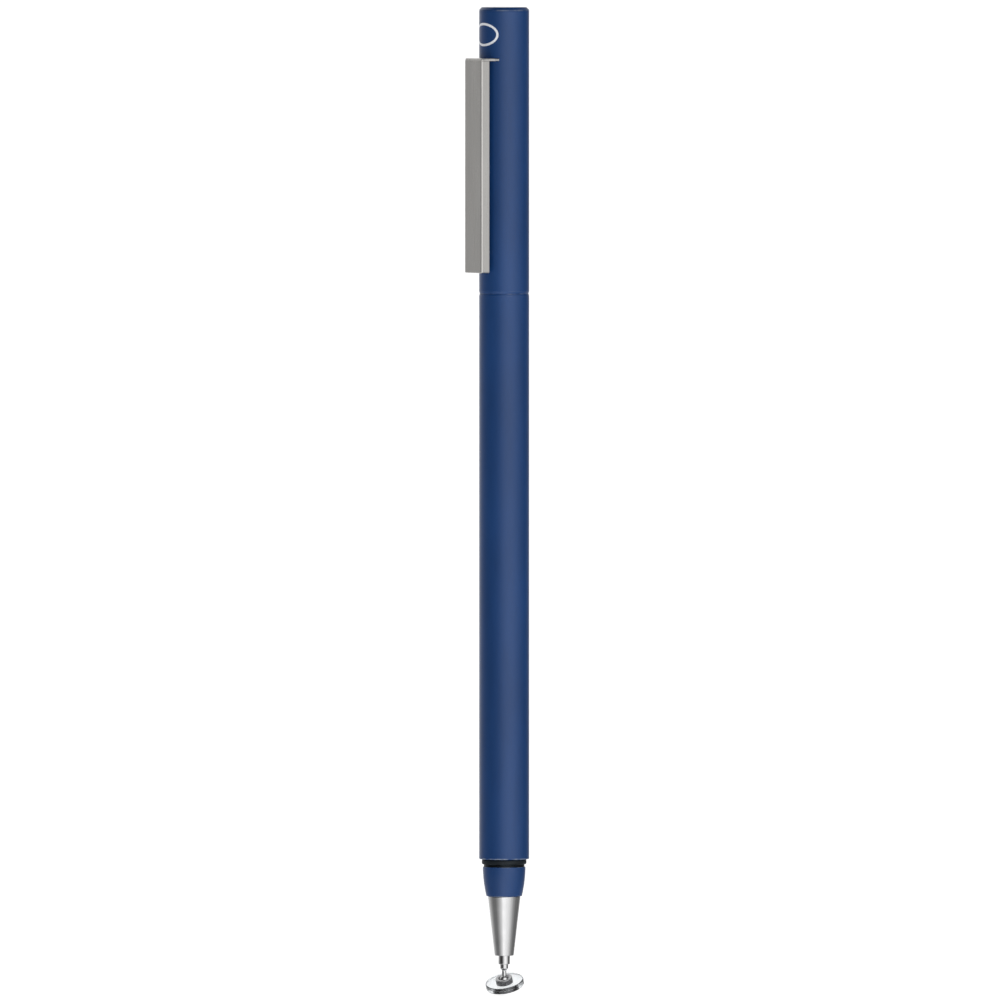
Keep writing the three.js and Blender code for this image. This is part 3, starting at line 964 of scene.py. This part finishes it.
def etched_oval():
    """A plain etched oval line above the clip, set flush in the cap's surface."""
    half_width, half_height, line = 2.75, 1.75, 0.36
    z_centre = (PLATE_HIGH + span("cap_shell")[1]) / 2
    proud, deep = 0.006, 0.05  # of the cap's surface, outwards and inwards
    section = ((line, -deep), (0, -deep), (0, proud), (line, proud))
    steps = 96
    verts, faces = [], []
    for k in range(steps):
        t = 2 * math.pi * k / steps
        for inset, lift in section:
            turn = (half_width - inset) * math.cos(t) / tube_r
            r = tube_r + lift
            z = z_centre + (half_height - inset) * math.sin(t)
            verts.append((r * math.sin(turn) * MM, -r * math.cos(turn) * MM, z * MM))
    for k in range(steps):
        n = (k + 1) % steps
        for side in range(4):
            other = (side + 1) % 4
            faces.append((4 * k + side, 4 * n + side, 4 * n + other, 4 * k + other))
    mesh = bpy.data.meshes.new("etched_oval")
    mesh.from_pydata(verts, [], faces)
    finish_mesh(mesh)
    mesh.materials.append(etched_mark())
    mark = new_object("etched_oval", mesh)
    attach(mark, "cap")


def carried_over():
    """CAD nodes that stay as they are, sealed inside, with the finish of their slot."""
    for node, obj in frame["nodes"].items():
        obj.data.materials.clear()
        obj.data.materials.append(FINISH[SLOT_OF[node]])


# ---- Stage ----
def direction(azimuth, elevation):
    """The unit vector towards an azimuth and elevation, both in degrees."""
    a, e = math.radians(azimuth), math.radians(elevation)
    return Vector((math.sin(a) * math.cos(e), -math.cos(a) * math.cos(e), math.sin(e)))


def camera():
    """A very long lens, a little above the level, that takes in the whole pen."""
    back = direction(CAMERA_AZIMUTH, CAMERA_ELEVATION)
    right = direction(CAMERA_AZIMUTH + 90, 0)
    data = bpy.data.cameras.new("camera")
    data.lens = CAMERA_LENS
    data.sensor_width = CAMERA_SENSOR
    data.clip_start, data.clip_end = 0.05, 100
    made = bpy.data.objects.new("camera", data)
    bpy.context.scene.collection.objects.link(made)
    aim = (Vector((0, 0, AIM_HEIGHT)) - right * AIM_LEFT) * MM
    made.location = aim + back * (VIEW_WIDTH * MM * CAMERA_LENS / CAMERA_SENSOR)
    made.rotation_mode = "QUATERNION"
    made.rotation_quaternion = (-back).to_track_quat("-Z", "Y")
    bpy.context.scene.camera = made


def floor():
    """A wide white floor just under the disc, which reflections don't show."""
    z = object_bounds()[0].z - 0.3 * MM
    half = 40.0  # metres
    corners = [(-half, -half, z), (half, -half, z), (half, half, z), (-half, half, z)]
    mesh = bpy.data.meshes.new("floor")
    mesh.from_pydata(corners, [], [(0, 1, 2, 3)])
    ground = new_object("floor", mesh)
    made = material("floor", (0.85, 0.85, 0.85), 0.8)
    shader = made.node_tree.nodes["Principled BSDF"]
    shader.inputs["Emission Color"].default_value = (1, 1, 1, 1)
    shader.inputs["Emission Strength"].default_value = 0.75
    mesh.materials.append(made)
    ground.visible_glossy = False
    ground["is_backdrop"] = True


# Brightness of the studio round the pen: (degrees right of the camera, level beside it, level below it)
STUDIO = [
    (-180, 1.0, 0.9),
    (-150, 0.8, 0.75),
    (-123, 0.5, 0.5),
    (-108, 0.36, 0.3),
    (-88, 0.12, 0.2),
    (-66, 0.04, 0.2),
    (-50, 0.04, 0.35),
    (-38, 0.1, 0.55),
    (-24, 0.25, 0.8),
    (-8, 0.75, 1.3),
    (8, 1.15, 1.25),
    (22, 1.3, 1.1),
    (40, 1.25, 0.95),
    (58, 0.85, 0.65),
    (76, 0.46, 0.35),
    (98, 0.12, 0.2),
    (120, 0.05, 0.3),
    (150, 0.3, 0.7),
    (180, 1.0, 0.9),
]
STUDIO_OVERHEAD = 0.04
STUDIO_PEAK = 2.0  # colour ramps stop at 1, so the world is this much brighter than its colours


def studio():
    """A world of soft vertical bands, as panels round a table give, and plain white to look at."""
    world = bpy.data.worlds.new("studio")
    bpy.context.scene.world = world
    world.use_nodes = True
    tree = world.node_tree
    background = tree.nodes["Background"]

    def add(kind):
        return tree.nodes.new(kind)

    def maths(operation, first, second):
        node = add("ShaderNodeMath")
        node.operation = operation
        for socket, value in zip(node.inputs, (first, second)):
            if isinstance(value, (int, float)):
                socket.default_value = value
            else:
                tree.links.new(value, socket)
        return node.outputs[0]

    place = add("ShaderNodeTexCoord")
    turned = add("ShaderNodeVectorRotate")
    turned.rotation_type = "Z_AXIS"
    turned.inputs["Angle"].default_value = -math.radians(CAMERA_AZIMUTH)
    tree.links.new(place.outputs["Generated"], turned.inputs["Vector"])
    split = add("ShaderNodeSeparateXYZ")
    tree.links.new(turned.outputs["Vector"], split.inputs["Vector"])
    ahead = maths("MULTIPLY", split.outputs["Y"], -1)
    angle = maths("ARCTAN2", split.outputs["X"], ahead)
    share = maths("ADD", maths("DIVIDE", angle, 2 * math.pi), 0.5)

    def bands(column):
        node = add("ShaderNodeValToRGB")
        node.color_ramp.interpolation = "EASE"
        elements = node.color_ramp.elements
        while len(elements) > 1:
            elements.remove(elements[-1])
        for i, row in enumerate(STUDIO):
            position = row[0] / 360 + 0.5
            element = elements[0] if i == 0 else elements.new(position)
            element.position = position
            level = row[column] / STUDIO_PEAK
            element.color = (level, level, level, 1)
        tree.links.new(share, node.inputs["Fac"])
        return node.outputs["Color"]

    def mixed(factor, first, second):
        """A blend of two colours; second may be a grey level."""
        node = add("ShaderNodeMix")
        node.data_type = "RGBA"
        tree.links.new(factor, node.inputs[0])
        tree.links.new(first, node.inputs[6])
        if isinstance(second, float):
            node.inputs[7].default_value = (second, second, second, 1)
        else:
            tree.links.new(second, node.inputs[7])
        return node.outputs[2]

    def layered(first, second, start, end):
        """Turns from first to second as the view's height, on a unit sphere, goes from start to end."""
        rise = add("ShaderNodeMapRange")
        rise.interpolation_type = "SMOOTHSTEP"
        rise.inputs["From Min"].default_value = start
        rise.inputs["From Max"].default_value = end
        tree.links.new(split.outputs["Z"], rise.inputs["Value"])
        return mixed(rise.outputs["Result"], first, second)

    sides = layered(bands(1), bands(2), -0.12, -0.22)
    overhead_low, overhead_high = math.sin(math.radians(50)), math.sin(math.radians(66))
    color = layered(sides, STUDIO_OVERHEAD / STUDIO_PEAK, overhead_low, overhead_high)
    path = add("ShaderNodeLightPath")
    seen = mixed(path.outputs["Is Camera Ray"], color, 1 / STUDIO_PEAK)
    tree.links.new(seen, background.inputs["Color"])
    background.inputs["Strength"].default_value = STUDIO_PEAK


def key_light():
    """One soft panel, to the right of the camera and a little above it, which reflections don't show."""
    data = bpy.data.lights.new("key", "AREA")
    data.shape = "DISK"
    data.size = 1.6
    data.energy = 3.0
    made = bpy.data.objects.new("key", data)
    bpy.context.scene.collection.objects.link(made)
    made.visible_glossy = False
    aim = Vector((0, 0, 0.06))
    distance = 1.6
    toward = direction(CAMERA_AZIMUTH + 35, 14)
    made.location = aim + toward * distance
    made.rotation_mode = "QUATERNION"
    made.rotation_quaternion = (-toward).to_track_quat("-Z", "Y")


camera()
carried_over()
barrel()
collar()
o_ring("front_seal", "front_o_ring", O_RING_SEAT_R + FIT)
nose()
cone()
bush()
seat_screw()
coil_spring()
weight()
o_ring("weight_ring_front", "weight_o_ring_front", WEIGHT_GROOVE_R + FIT, FINE_SEGMENTS)
o_ring("weight_ring_rear", "weight_o_ring_rear", WEIGHT_GROOVE_R + FIT, FINE_SEGMENTS)
post()
o_ring("post_seal", "rear_o_ring", O_RING_SEAT_R + FIT)
stem()
ball()
retaining_ring()
hub()
clear_disc()
cap_sleeve()
cap_tube()
end_plug()
clip()
etched_oval()
floor()
studio()
key_light()
bpy.context.scene.view_settings.view_transform = "Standard"
